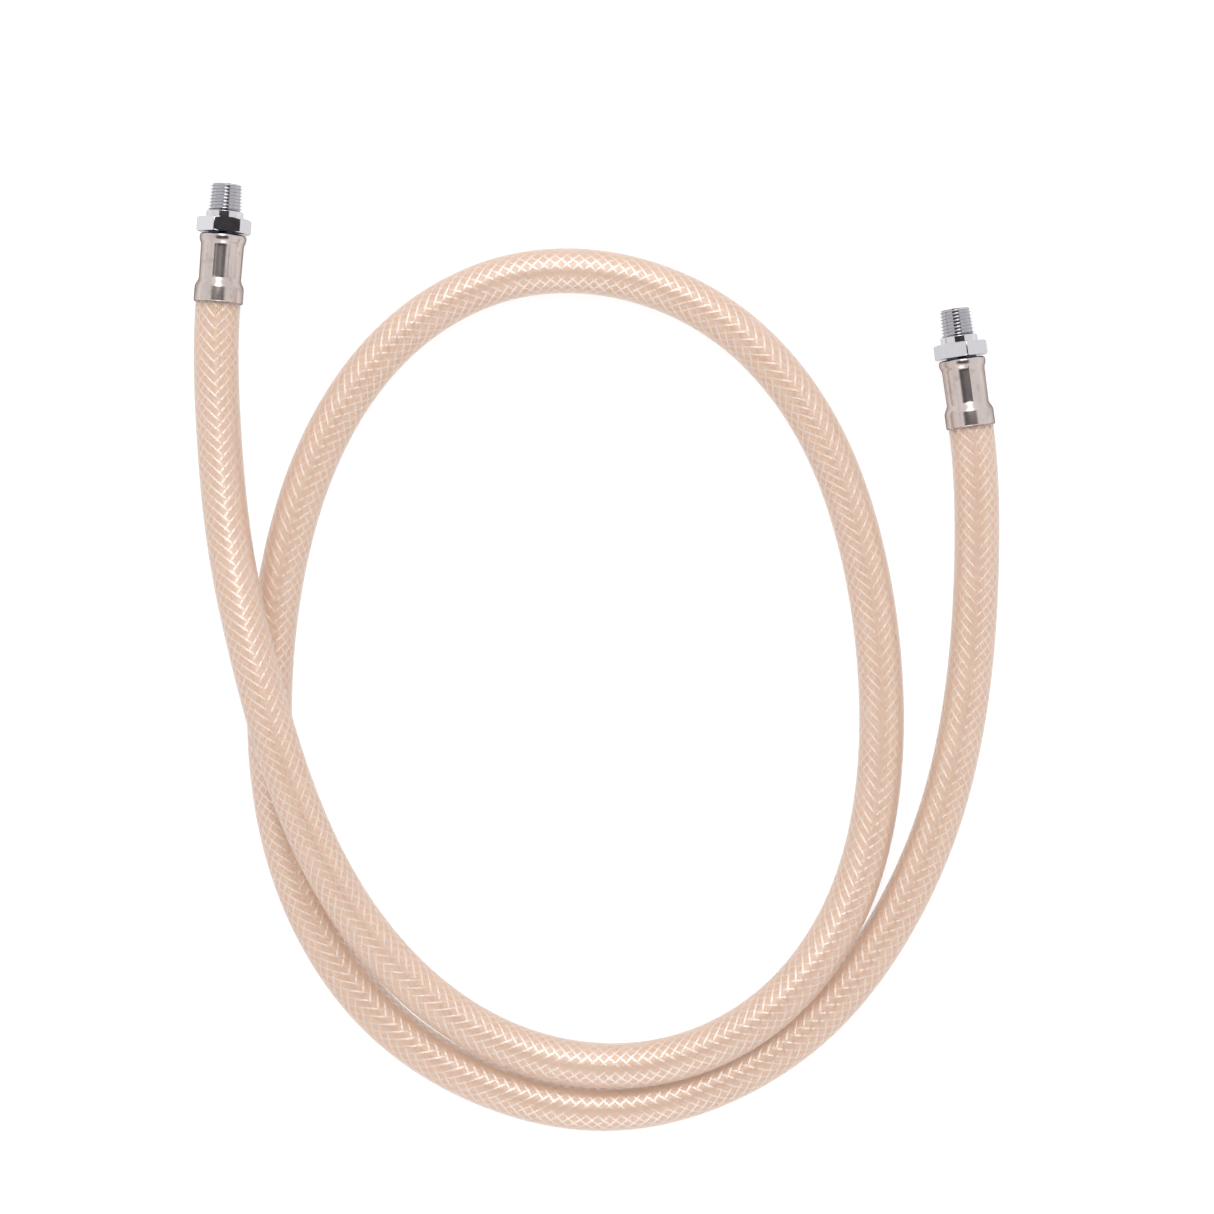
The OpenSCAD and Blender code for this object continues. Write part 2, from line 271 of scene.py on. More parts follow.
def fitting_marks(fitting):
    """Distances from the tip at which the parts of a fitting start and end."""
    marks = {"hex": fitting.thread_len + fitting.collar_len}
    marks["slot"] = marks["hex"] + fitting.hex_len
    marks["ferrule"] = marks["slot"] + fitting.slot_len
    marks["shoulder"] = marks["ferrule"] + fitting.ferrule_wall
    marks["hose"] = marks["shoulder"] + fitting.shoulder_len
    marks["tail"] = marks["hose"] + fitting.barb_count * fitting.barb_pitch
    marks["crimp"] = marks["ferrule"] + fitting.bead_len
    marks["flare"] = marks["crimp"] + fitting.crimp_len
    marks["bell"] = marks["flare"] + fitting.flare_len
    marks["mouth"] = marks["bell"] + fitting.bell_len
    return marks


def spline(controls, samples):
    """Points and slopes of a uniform cubic B-spline, samples to each span.

    With u from 0 to 1 along a span, the four control points weigh (1 - u)^3,
    3u^3 - 6u^2 + 4, -3u^3 + 3u^2 + 3u + 1 and u^3, each over 6.
    """
    u = np.arange(samples)[:, None] / samples
    weights = np.hstack([(1 - u) ** 3, 3 * u ** 3 - 6 * u ** 2 + 4,
                         -3 * u ** 3 + 3 * u ** 2 + 3 * u + 1, u ** 3]) / 6
    slopes = np.hstack([-(1 - u) ** 2, 3 * u ** 2 - 4 * u, -3 * u ** 2 + 2 * u + 1,
                        u ** 2]) / 2
    spans = np.stack([controls[k:len(controls) - 3 + k] for k in range(4)], axis=1)
    last = np.array([1, 4, 1]) / 6 @ controls[-3:]
    last_slope = (controls[-1] - controls[-3]) / 2
    points = np.einsum("uk,skx->sux", weights, spans).reshape(-1, 3)
    tangents = np.einsum("uk,skx->sux", slopes, spans).reshape(-1, 3)
    return np.vstack([points, last]), np.vstack([tangents, last_slope])


def end_controls(mouth, direction, following):
    """Two control points that make the spline leave a mouth along its axis.

    Weighed 1, 4 and 1 over 6 they and the following one give the mouth, and half the way
    from the first to the following one is the axis times the reach.
    """
    reach = np.linalg.norm(following - mouth)
    return [following - 2 * reach * direction,
            1.5 * mouth - 0.5 * following + 0.5 * reach * direction]


class HoseLine:
    """The hose's centreline from one cut end to the other, with a frame at each point.

    A spline's control points lie off the route's points by a sixth of their second
    difference, which brings the spline to them. It is lifted where it would sink into the
    table. Under the ferrules the line is straight.
    """

    samples_per_span = 24
    crimped_rings = 16

    def __init__(self, hose, fitting):
        outer = hose_radii(hose)[3]
        left, left_way, depth = end_frame("left", fitting)
        right, right_way, _ = end_frame("right", fitting)
        route = np.array(ROUTE) + [0, 0, outer]
        knots = np.vstack([left, route, right])
        inner = knots[1:-1] - (knots[:-2] - 2 * knots[1:-1] + knots[2:]) / 6
        controls = np.vstack([end_controls(left, left_way, inner[0]), inner,
                              end_controls(right, right_way, inner[-1])[::-1]])
        free, slope = spline(controls, self.samples_per_span)
        free[:, 2] = np.maximum(free[:, 2], outer)
        marks = fitting_marks(fitting)
        inside = np.linspace(marks["hose"], depth, self.crimped_rings)[:-1]
        share = np.interp(inside, [marks["flare"], marks["bell"]], [hose.squeeze, 1.0])
        back = (depth - inside)[:, None]
        self.centre = np.vstack([left - back * left_way, free,
                                 (right - back * right_way)[::-1]])
        count = len(inside)
        tangent = unit(np.vstack([np.tile(left_way, (count, 1)), slope,
                                  np.tile(-right_way, (count, 1))]))
        self.share = np.concatenate([share, np.ones(len(free)), share[::-1]])
        self.side = unit(np.cross([0, 0, 1], tangent))
        self.up = np.cross(tangent, self.side)
        steps = np.linalg.norm(np.diff(self.centre, axis=0), axis=1)
        self.run = np.concatenate([[0], np.cumsum(steps)])
        self.length = self.run[-1]
        self.mouths = (left, right)
        self.bore = hose.bore / 2

    def at(self, values, run):
        """The values of the line's points, read off between them at other distances."""
        if values.ndim == 1:
            return np.interp(run, self.run, values)
        return np.stack([np.interp(run, self.run, column) for column in values.T], axis=-1)

    def surface(self, run, angle, radius):
        """Points and outward directions at a distance along the hose, an angle and a radius.

        A point is the centre plus the radius times (cos angle up + sin angle sideways). Under
        a ferrule the wall outside the bore is squeezed, and the radius with it.
        """
        outward = (np.cos(angle)[..., None] * unit(self.at(self.up, run))
                   + np.sin(angle)[..., None] * unit(self.at(self.side, run)))
        squeezed = self.bore + (radius - self.bore) * self.at(self.share, run)
        return self.at(self.centre, run) + squeezed[..., None] * outward, outward


def hose_layer(name, line, inner, outer, rows, columns, **made):
    """A tube wall along the hose: out along its outer radius and back along its inner one.

    The angle round the hose and the distance along it are the surface's two parameters,
    and the inner wall has a third of the outer one's rows, as it hardly shows.
    """
    inner_rows = rows // 3
    run = np.concatenate([np.linspace(0, line.length, rows),
                          np.linspace(line.length, 0, inner_rows)])
    radius = np.concatenate([np.full(rows, outer), np.full(inner_rows, inner)])
    angle = -np.arange(columns) * TURN / columns
    run_grid, angle_grid = np.meshgrid(run, angle, indexing="ij")
    radius_grid = np.broadcast_to(radius[:, None], run_grid.shape)
    points, _ = line.surface(run_grid, angle_grid, radius_grid)
    faces, uv = grid_mesh(run_grid / made.pop("lead"), wrap_rows=True)
    return new_piece(name, points, faces, uv, sharp=60, **made)


def braid_yarns(name, line, hose, hand, **made):
    """The yarns that wind one way round the hose, hand being 1 or -1.

    A yarn's angle grows by one turn in each lead, at one radius: the wall has pressed the
    crossings flat, and one hand lies a hair over the other. Its section is a flat tape that
    comes to a point below. Its height over the inner tube, the step from hand to hand and
    its thickness are shares of the braid's thickness.
    """
    liner = hose_radii(hose)[1]
    count = hose.yarns_each_way
    samples_per_crossing = 3
    sides = 3
    proud = 0.06 * hose.braid_wall
    apart = 0.012 * hose.braid_wall
    thickness = 0.2 * hose.braid_wall
    step = hose.braid_lead / (2 * count * samples_per_crossing)
    run = np.arange(0, line.length, step)
    start = np.arange(count) * TURN / count
    angle = start[:, None] + hand * TURN * run / hose.braid_lead
    radius = np.full(angle.shape, liner + proud + hand * apart)
    run_grid = np.broadcast_to(run, angle.shape)
    middle, outward = line.surface(run_grid, angle, radius)
    along = unit(np.gradient(middle, axis=1))
    across = unit(np.cross(along, outward))
    out = np.array([0, 0, -1])[:, None] * thickness
    aside = np.array([-1, 1, 0])[:, None] * hose.yarn_width / 2
    section = out * outward[:, :, None] + aside * across[:, :, None]
    points = middle[:, :, None] + section
    rows = len(run)
    quads, quad_uv = grid_mesh(np.tile(run[:, None] / hose.yarn_width, (1, sides)))
    yarn_start = (np.arange(count) * rows * sides)[:, None, None]
    quads = (quads + yarn_start).reshape(-1, 4)
    ring = np.arange(sides)
    caps = [c for k in range(count) for c in (
        (k * rows * sides + ring)[::-1].tolist(),
        (k * rows * sides + (rows - 1) * sides + ring).tolist())]
    cap_uv = np.zeros((len(caps) * sides, 2))
    uv = np.vstack([np.tile(quad_uv, (count, 1)), cap_uv])
    return new_piece(name, points, quads.tolist() + caps, uv, sharp=60, **made)


# ---- the fittings' surfaces ----------------------------------------------------------------
def hexagon_angles():
    """Angles round a fitting: every 4 degrees, and closer beside the hexagon's corners."""
    beside = [-1.0, 1.0, 2.2]
    between = list(range(6, 55, 4)) + [57.8]
    return np.radians([60 * k + a for k in range(6) for a in beside + between])


def place_fitting(side, fitting, height, angle, radius):
    """Points of a fitting at a distance from its tip, an angle and a radius round its axis.

    The axis runs along the heading and ends at the mouth. Angle 0 points down before the
    fitting is rolled.
    """
    mouth, way, depth = end_frame(side, fitting)
    rolled = angle + math.radians(ENDS[side]["roll"])
    down = np.array([0.0, 0.0, -1.0])
    across = np.array([-way[1], way[0], 0.0])
    return (mouth + (height - depth)[..., None] * way
            + (radius * np.cos(rolled))[..., None] * down
            + (radius * np.sin(rolled))[..., None] * across)


def thread_rows(fitting, angle):
    """Heights of the rows that follow the thread's helix, cut off at its two ends, and for
    each row the one that it meets a turn further on.

    A row climbs by one pitch a turn. With u from 0 to 1 from crest to crest, the rows lie
    at u - 0.6 sin(4 pi u) / 4 pi, which crowds them at each crest and root.
    """
    per_pitch, crowding = 16, 0.6
    turns = math.ceil(fitting.thread_len / fitting.thread_pitch) + 1
    u = np.arange(per_pitch * turns + 1) / per_pitch
    climbed = u - crowding * np.sin(2 * TURN * u) / (2 * TURN) - 1
    height = (climbed[:, None] + angle / TURN) * fitting.thread_pitch
    last = len(u) - 1
    return (np.clip(height, 0, fitting.thread_len),
            np.minimum(np.arange(last + 1) + per_pitch, last))


def thread_radius(height, angle, fitting):
    """Radius of the taper thread at a distance from the tip and an angle.

    The crests widen by 1 in 16 of the length on the diameter. Between them the groove falls
    and rises as a cosine down to a flat root, so the crest is round. Its depth follows a
    helix of one pitch a turn and runs out into the collar. The tip's chamfer cuts all of it.
    """
    taper, steepness = 1 / 16, 1.1
    crest = fitting.thread_d / 2 + taper / 2 * (height - fitting.thread_len / 2)
    turns = height / fitting.thread_pitch - angle / TURN
    cut = np.minimum(steepness * (1 - np.cos(TURN * turns)), 1)
    run_out = np.clip((fitting.thread_len - height) / (fitting.thread_pitch / 2), 0, 1)
    chamfer = fitting.thread_d / 2 - 1.2 * fitting.tip_chamfer + height
    return np.minimum(crest - fitting.thread_depth * cut * run_out, chamfer)


def hexagon_radius(height, angle, fitting, marks):
    """Radius of the hexagon: the flats, under the cones that turn down its corners.

    A flat is half the width across flats over the cosine of the angle from its middle. The
    corners are eased a little, as on any turned hexagon.
    """
    ease = 0.06 * MM
    cone_slope = 1 / math.tan(math.radians(30))
    corner = corner_radius(fitting)
    from_middle = (angle % (TURN / 6)) - TURN / 12
    flat = fitting.hex_af / 2 / np.cos(from_middle)
    edge = np.minimum(height - marks["hex"], marks["slot"] - height)
    cone = corner - fitting.hex_chamfer + edge * cone_slope
    return np.minimum(np.minimum(flat, cone), corner - ease)


def stem_surface(fitting):
    """Height and radius of the stem's rows from the tip out, along to the tail and back
    through the bore, each row with one value for every angle, and the rows' seam."""
    marks = fitting_marks(fitting)
    angle = hexagon_angles()
    bore = fitting.stem_bore / 2
    shoulder = crimp_radii(fitting)[0] - fitting.fit_gap
    groove = shoulder - fitting.groove_depth
    collar = fitting.collar_d / 2
    barb = barb_radius(fitting)
    low = barb - fitting.barb_depth
    ease = 0.15 * MM
    turned_down = np.linspace(0, 0.52, 7) * MM

    def rows(pairs):
        heights, radii = np.array(pairs).T
        ones = np.ones(len(angle))
        return heights[:, None] * ones, radii[:, None] * ones

    thread, met = thread_rows(fitting, angle)
    hexed = np.concatenate([marks["hex"] + turned_down, marks["slot"] - turned_down[::-1]])
    hexed = hexed[:, None] * np.ones(len(angle))
    barbs = [(marks["hose"] + (i + share) * fitting.barb_pitch, radius)
             for i in range(fitting.barb_count)
             for share, radius in ((0.15, low), (0.25, barb), (0.4, barb), (1, low))]
    parts = [
        rows([(0, bore + ease)]),
        (thread, thread_radius(thread, angle, fitting)),
        rows([(fitting.thread_len, collar - ease), (fitting.thread_len + ease, collar),
              (fitting.thread_len + 1.5 * ease, collar), (marks["hex"], collar)]),
        (hexed, hexagon_radius(hexed, angle, fitting, marks)),
        rows([(marks["slot"], groove), (marks["shoulder"], groove),
              (marks["shoulder"], shoulder), (marks["hose"], shoulder),
              (marks["hose"], low)]),
        rows(barbs),
        rows([(marks["tail"], bore), (ease, bore)]),
    ]
    heights, radii = (np.vstack(column) for column in zip(*parts))
    seam = np.arange(len(heights))
    seam[1:1 + len(met)] = 1 + met
    return heights, angle, radii, seam


def barb_radius(fitting):
    """Radius over the barbs, just inside the flats of a ten-sided bore.

    The flats of a round bore that is drawn with n sides lie at its radius times cos(pi / n).
    """
    sides = 10
    bore = bpy.context.scene.braided_hose.bore / 2
    return bore * math.cos(math.pi / sides) - fitting.fit_gap


def crimp_radii(fitting):
    """Inner and outer radius of the crimped body, and of the bell."""
    hose = bpy.context.scene.braided_hose
    bore, _, _, outer = hose_radii(hose)
    crimp = bore + (outer - bore) * hose.squeeze + fitting.fit_gap
    bell = outer + fitting.fit_gap
    return crimp, crimp + fitting.ferrule_wall, bell, bell + fitting.ferrule_wall


def ease_curve(start, end, count):
    """Rows from one (height, radius) to another on a half wave of a cosine."""
    t = np.linspace(0, 1, count)
    swell = (1 - np.cos(math.pi * t)) / 2
    return [(start[0] + (end[0] - start[0]) * a, start[1] + (end[1] - start[1]) * b)
            for a, b in zip(t.tolist(), swell.tolist())]


def arc(centre, radius, start, end, count):
    """Rows round an arc, with angles in degrees from straight out towards the mouth."""
    a = np.radians(np.linspace(start, end, count))
    return list(zip((centre[0] + radius * np.sin(a)).tolist(),
                    (centre[1] + radius * np.cos(a)).tolist()))


def join_arc(rows, radius, start, end, count):
    """The rows with an arc added that goes on from their last one."""
    a = math.radians(start)
    height, across = rows[-1]
    centre = (height - radius * math.sin(a), across - radius * math.cos(a))
    return rows + arc(centre, radius, start, end, count)[1:]


def ferrule_surface(fitting):
    """Height and radius of the ferrule's rows, out along the bead, the crimped body, the
    flare and the bell, and back along its inside.

    The bead is three arcs that run into each other. The crimped body swells by a narrow
    ridge between two dies and a little in the middle of each die's mark: with t from -0.5
    to 0.5 across a ridge, by exp(-(t / 0.05)^2) - 0.35 cos(2 pi t) of the ridge's rise.
    """
    columns, ridge_width, wave = 144, 0.05, 0.35
    marks = fitting_marks(fitting)
    crimp_in, crimp_out, bell_in, bell_out = crimp_radii(fitting)
    groove = crimp_in - fitting.fit_gap - fitting.groove_depth
    bead_out = crimp_out + fitting.bead_rise
    front, crown, back = 1.1 * MM, 5.5 * MM, 0.5 * MM
    turn = fitting.edge_turn
    bead = arc((marks["ferrule"] + front, bead_out - front), front, -90, -4, 9)
    bead = join_arc(bead, crown, -4, 22, 8)
    bead = join_arc(bead, back, 22, 62, 5)
    flared = marks["bell"] + 0.35 * fitting.flare_len
    body = [(marks["crimp"] + t * fitting.crimp_len, crimp_out - t * fitting.crimp_taper)
            for t in np.linspace(0.04, 1, 16).tolist()]
    outside = (
        [(marks["ferrule"], groove + fitting.fit_gap)]
        + bead
        + body
        + ease_curve(body[-1], (flared, bell_out), 18)[1:]
        + [(marks["mouth"] - 1.2 * turn, bell_out)]
        + arc((marks["mouth"] - turn, bell_out - turn), turn, 0, 80, 6))
    inside = [(marks["mouth"], bell_in), (marks["bell"], bell_in), (marks["flare"], crimp_in),
              (marks["shoulder"], crimp_in), (marks["shoulder"], groove + fitting.fit_gap)]
    heights, radii = np.array(outside + inside).T
    angle = np.arange(columns) * TURN / columns
    from_ridge = (angle * fitting.die_count / TURN + 0.5) % 1 - 0.5
    ridge = np.exp(-(from_ridge / ridge_width) ** 2) - wave * np.cos(TURN * from_ridge)
    on_body = np.clip((heights - marks["crimp"]) / (0.6 * MM), 0, 1)
    on_body *= np.clip((marks["flare"] + 0.5 * MM - heights) / (0.8 * MM), 0, 1)
    on_body[len(outside):] = 0
    radius = radii[:, None] + fitting.ridge_rise * on_body[:, None] * ridge
    return heights[:, None] * np.ones(columns), angle, radius, None


def new_fitting_piece(name, side, surface, fitting, **made):
    """A turned piece whose rows close on themselves, at its place on one end."""
    height, angle, radius, seam = surface(fitting)
    angle_grid = np.broadcast_to(angle, height.shape)
    points = place_fitting(side, fitting, height, angle_grid, radius)
    faces, uv = grid_mesh(height / MM, wrap_rows=True, seam=seam)
    return new_piece(name, points, faces, uv, sharp=48, **made)


# ---- materials -----------------------------------------------------------------------------
def add_node(tree, kind, inputs=None, **settings):
    """Adds a node of a kind. An input is given by name, as a plain value or as the output
    that feeds it."""
    made = tree.nodes.new(kind)
    for name, value in settings.items():
        setattr(made, name, value)
    for name, value in (inputs or {}).items():
        if isinstance(value, bpy.types.NodeSocket):
            tree.links.new(value, made.inputs[name])
        else:
            made.inputs[name].default_value = value
    return made


def new_material(name):
    """A material with nothing but its output node."""
    material = bpy.data.materials.new(name)
    material.use_nodes = True
    material.node_tree.nodes.clear()
    return material, material.node_tree


def finish_material(material, tree, shader, bump=None):
    """Links the shader, and a bump if there is one, to the material's output."""
    if bump is not None:
        tree.links.new(bump.outputs["Normal"], shader.inputs["Normal"])
    add_node(tree, "ShaderNodeOutputMaterial", {"Surface": shader.outputs[0]})
    return material


def extruded_vinyl_tube(hose):
    """Soft PVC, extruded: hazy peach tube, a little mottled, with a soft gloss.

    Light goes into it and comes out warmer, so it glows at its edges.
    """
    material, tree = new_material("extruded_vinyl_tube")
    place = add_node(tree, "ShaderNodeTexCoord")
    mottle = add_node(tree, "ShaderNodeTexNoise", {
        "Vector": place.outputs["Object"], "Scale": 1 / (18 * MM), "Detail": 3.0})
    tint = add_node(tree, "ShaderNodeMix", {
        "Factor": mottle.outputs["Fac"], "A": (*hose.vinyl_colour, 1),
        "B": colour("#D9B59B")}, data_type="RGBA")
    shader = add_node(tree, "ShaderNodeBsdfPrincipled", {
        "Base Color": tint.outputs["Result"], "Roughness": 0.45, "IOR": 1.53,
        "Subsurface Weight": 0.5, "Subsurface Scale": 2.0 * MM,
        "Subsurface Radius": (1.0, 0.55, 0.3)})
    return finish_material(material, tree, shader)


def braided_polyester_yarn(hose):
    """Filament polyester, drawn and wound flat: bright cream with a satin flash along it.

    The real filaments are 0.02 mm across. They are drawn eight to the yarn so that the
    bump breaks the flash up at all.
    """
    material, tree = new_material("braided_polyester_yarn")
    place = add_node(tree, "ShaderNodeUVMap", uv_map="UVMap")
    filaments = add_node(tree, "ShaderNodeMapping", {
        "Vector": place.outputs["UV"], "Scale": (8.0, 0.5, 1.0)})
    strands = add_node(tree, "ShaderNodeTexNoise", {
        "Vector": filaments.outputs["Vector"], "Scale": 2.0, "Detail": 1.0})
    bump = add_node(tree, "ShaderNodeBump", {
        "Height": strands.outputs["Fac"], "Strength": 0.25, "Distance": 0.05 * MM})
    tint = add_node(tree, "ShaderNodeMix", {
        "Factor": strands.outputs["Fac"], "A": colour("#D1AE98"),
        "B": (*hose.yarn_colour, 1)}, data_type="RGBA")
    shader = add_node(tree, "ShaderNodeBsdfPrincipled", {
        "Base Color": tint.outputs["Result"], "Roughness": 0.42, "IOR": 2.7,
        "Specular IOR Level": 1.0, "Anisotropic": 0.85,
        "Tangent": add_node(tree, "ShaderNodeTangent", direction_type="UV_MAP").outputs[0]})
    return finish_material(material, tree, shader, bump)


def braid_pattern(tree, yarns):
    """Height of the quilting over the braid: 1 above a yarn of either hand, 0 between.

    U grows by one turn round the hose and V by one lead along it, so the yarns of one hand
    lie where U + V times their number is whole and the others where U - V is.
    """
    place = add_node(tree, "ShaderNodeUVMap", uv_map="UVMap")
    apart = add_node(tree, "ShaderNodeSeparateXYZ", {"Vector": place.outputs["UV"]})
    ridges = []
    for operation in ("ADD", "SUBTRACT"):
        phase = add_node(tree, "ShaderNodeMath", {0: apart.outputs["X"],
                                                  1: apart.outputs["Y"]}, operation=operation)
        turned = add_node(tree, "ShaderNodeMath", {0: phase.outputs[0], 1: TURN * yarns},
                          operation="MULTIPLY")
        wave = add_node(tree, "ShaderNodeMath", {0: turned.outputs[0]}, operation="COSINE")
        ridges.append(wave.outputs[0])
    both = add_node(tree, "ShaderNodeMath", {0: ridges[0], 1: ridges[1], 2: 0.6},
                    operation="SMOOTH_MAX")
    return both.outputs[0]


def clear_vinyl_cover(hose):
    """Plasticised PVC, extruded over the braid: clear with a peach tint and a wet gloss.

    The eye sees through it as through glass, bent and a little hazed. To every other ray it
    is clear, so the lamps reach the braid. The braid stands through as a faint quilting.
    """
    material, tree = new_material("clear_vinyl_cover")
    place = add_node(tree, "ShaderNodeTexCoord")
    haze = add_node(tree, "ShaderNodeTexNoise", {
        "Vector": place.outputs["Object"], "Scale": 1 / (7 * MM), "Detail": 2.0})
    bump = add_node(tree, "ShaderNodeBump", {
        "Height": braid_pattern(tree, hose.yarns_each_way), "Strength": 0.3,
        "Distance": 0.04 * MM})
    tint = add_node(tree, "ShaderNodeMix", {
        "Factor": haze.outputs["Fac"], "A": (*hose.cover_colour, 1),
        "B": colour("#FFF5EE")}, data_type="RGBA")
    shader = add_node(tree, "ShaderNodeBsdfPrincipled", {
        "Base Color": tint.outputs["Result"], "Roughness": 0.36, "IOR": 1.53,
        "Transmission Weight": 1.0, "Normal": bump.outputs["Normal"]})
    path = add_node(tree, "ShaderNodeLightPath")
    clear = add_node(tree, "ShaderNodeBsdfTransparent")
    both = add_node(tree, "ShaderNodeMixShader", {
        0: path.outputs["Is Camera Ray"], 1: clear.outputs[0], 2: shader.outputs[0]})
    return finish_material(material, tree, both)


def bright_nickel_plate(fitting):
    """Brass, turned on a lathe and plated bright: a cool mirror with a slight haze.

    Painted shade darkens the roots of the thread and the face behind the hexagon.
    V is the distance from the tip in mm, and a root lies where V over the pitch less U is
    half way between two whole numbers.
    """
    material, tree = new_material("bright_nickel_plate")
    place = add_node(tree, "ShaderNodeUVMap", uv_map="UVMap")
    apart = add_node(tree, "ShaderNodeSeparateXYZ", {"Vector": place.outputs["UV"]})
    turns = add_node(tree, "ShaderNodeMath", {
        0: apart.outputs["Y"], 1: MM / fitting.thread_pitch}, operation="MULTIPLY")
    phase = add_node(tree, "ShaderNodeMath", {
        0: turns.outputs[0], 1: apart.outputs["X"]}, operation="SUBTRACT")
    turned = add_node(tree, "ShaderNodeMath", {0: phase.outputs[0], 1: TURN},
                      operation="MULTIPLY")
    wave = add_node(tree, "ShaderNodeMath", {0: turned.outputs[0]}, operation="COSINE")
    # painted shade in the thread's roots: the colour darkens where V over the pitch less U
    # nears a half
    root = add_node(tree, "ShaderNodeMapRange", {
        "Value": wave.outputs[0], "From Min": 0.0, "From Max": -0.6,
        "To Min": 0.0, "To Max": 0.45})
    on_thread = add_node(tree, "ShaderNodeMath", {
        0: apart.outputs["Y"], 1: fitting.thread_len / MM - 0.3}, operation="LESS_THAN")
    shaded_roots = add_node(tree, "ShaderNodeMath", {
        0: root.outputs["Result"], 1: on_thread.outputs[0]}, operation="MULTIPLY")
    # the same painted shade on the face behind the hexagon
    behind = add_node(tree, "ShaderNodeMath", {
        0: apart.outputs["Y"], 1: fitting_marks(fitting)["slot"] / MM - 0.05},
        operation="GREATER_THAN")
    painted_shade = add_node(tree, "ShaderNodeMath", {
        0: shaded_roots.outputs[0], 1: behind.outputs[0]}, operation="MAXIMUM")
    # the dark blue grey is the painted shade, mixed into the plate's colour
    tint = add_node(tree, "ShaderNodeMix", {
        "Factor": painted_shade.outputs[0], "A": (*fitting.plate_colour, 1),
        "B": colour("#50525E")}, data_type="RGBA")
    spot = add_node(tree, "ShaderNodeTexCoord")
    haze = add_node(tree, "ShaderNodeTexNoise", {
        "Vector": spot.outputs["Object"], "Scale": 1 / (2.5 * MM), "Detail": 4.0})
    rough = add_node(tree, "ShaderNodeMapRange", {
        "Value": haze.outputs["Fac"], "From Min": 0.3, "From Max": 0.7,
        "To Min": 0.07, "To Max": 0.13})
    shader = add_node(tree, "ShaderNodeBsdfPrincipled", {
        "Base Color": tint.outputs["Result"], "Metallic": 1.0,
        "Specular Tint": colour("#DCDCE0"),
        "Roughness": rough.outputs["Result"]})
    return finish_material(material, tree, shader)


def drawn_stainless_steel(fitting):
    """Stainless steel, deep drawn and pressed by dies: warm grey, streaked along its length.

    U turns once round the ferrule and V is the distance from the tip in mm, so the streaks
    are about 1 mm wide and 8 mm long. Handling has left a few brown smudges.
    """
    material, tree = new_material("drawn_stainless_steel")
    place = add_node(tree, "ShaderNodeUVMap", uv_map="UVMap")
    drawn = add_node(tree, "ShaderNodeMapping", {
        "Vector": place.outputs["UV"], "Scale": (30.0, 0.06, 1.0)})
    lines = add_node(tree, "ShaderNodeTexNoise", {
        "Vector": drawn.outputs["Vector"], "Scale": 1.0, "Detail": 3.0})
    streak = add_node(tree, "ShaderNodeMapRange", {
        "Value": lines.outputs["Fac"], "From Min": 0.35, "From Max": 0.65})
    tint = add_node(tree, "ShaderNodeMix", {
        "Factor": streak.outputs["Result"], "A": colour("#C6BAB6"),
        "B": (*fitting.steel_colour, 1)}, data_type="RGBA")
    spot = add_node(tree, "ShaderNodeTexCoord")
    handled = add_node(tree, "ShaderNodeTexNoise", {
        "Vector": spot.outputs["Object"], "Scale": 1 / (5 * MM), "Detail": 5.0})
    smudge = add_node(tree, "ShaderNodeMapRange", {
        "Value": handled.outputs["Fac"], "From Min": 0.55, "From Max": 0.75,
        "To Min": 0.0, "To Max": 0.4})
    worn = add_node(tree, "ShaderNodeMix", {
        "Factor": smudge.outputs["Result"], "A": tint.outputs["Result"],
        "B": colour("#8F7D70")}, data_type="RGBA")
    rough = add_node(tree, "ShaderNodeMapRange", {
        "Value": lines.outputs["Fac"], "From Min": 0.3, "From Max": 0.7,
        "To Min": 0.24, "To Max": 0.20})
    bump = add_node(tree, "ShaderNodeBump", {
        "Height": lines.outputs["Fac"], "Strength": 0.1, "Distance": 0.01 * MM})
    shader = add_node(tree, "ShaderNodeBsdfPrincipled", {
        "Base Color": worn.outputs["Result"], "Metallic": 1.0,
        "Specular Tint": colour("#958B87"), "Roughness": rough.outputs["Result"]})
    return finish_material(material, tree, shader, bump)


def seen_ray(tree):
    """1 for rays that carry the background to the eye: camera, glossy and transmission."""
    path = add_node(tree, "ShaderNodeLightPath")
    seen = path.outputs["Is Camera Ray"]
    for ray in ("Is Glossy Ray", "Is Transmission Ray"):
        seen = add_node(tree, "ShaderNodeMath", {0: seen, 1: path.outputs[ray]},
                        operation="MAXIMUM").outputs[0]
    return seen


def white_table():
    """Matt white laminate: it lights the object as a white sheet does, and is seen as white
    with only the deepest of the object's shadow."""
    material, tree = new_material("white_table")
    lit = add_node(tree, "ShaderNodeBsdfDiffuse", {"Color": colour("#E7E7E7")})
    shaded = add_node(tree, "ShaderNodeBsdfDiffuse", {"Color": colour("#A0A0A0")})
    glow = add_node(tree, "ShaderNodeEmission", {"Color": colour("#FFFFFF"),
                                                 "Strength": 0.76})
    both = add_node(tree, "ShaderNodeAddShader", {0: glow.outputs[0], 1: shaded.outputs[0]})
    choice = add_node(tree, "ShaderNodeMixShader", {
        0: seen_ray(tree), 1: lit.outputs[0], 2: both.outputs[0]})
    return finish_material(material, tree, choice)


def matt_black_card():
    """Black card, uncoated: the dark ceiling that the bright metal mirrors."""
    material, tree = new_material("matt_black_card")
    shader = add_node(tree, "ShaderNodeBsdfDiffuse", {"Color": colour("#403E40")})
    return finish_material(material, tree, shader)


# ---- the stage -----------------------------------------------------------------------------
def flat_sheet(name, corners, material):
    """A flat sheet between four corners, which belongs to the stage."""
    mesh = bpy.data.meshes.new(name)
    mesh.from_pydata(corners, [], [(0, 1, 2, 3)])
    mesh.materials.append(material)
    sheet = bpy.data.objects.new(name, mesh)
    bpy.context.scene.collection.objects.link(sheet)
    return sheet


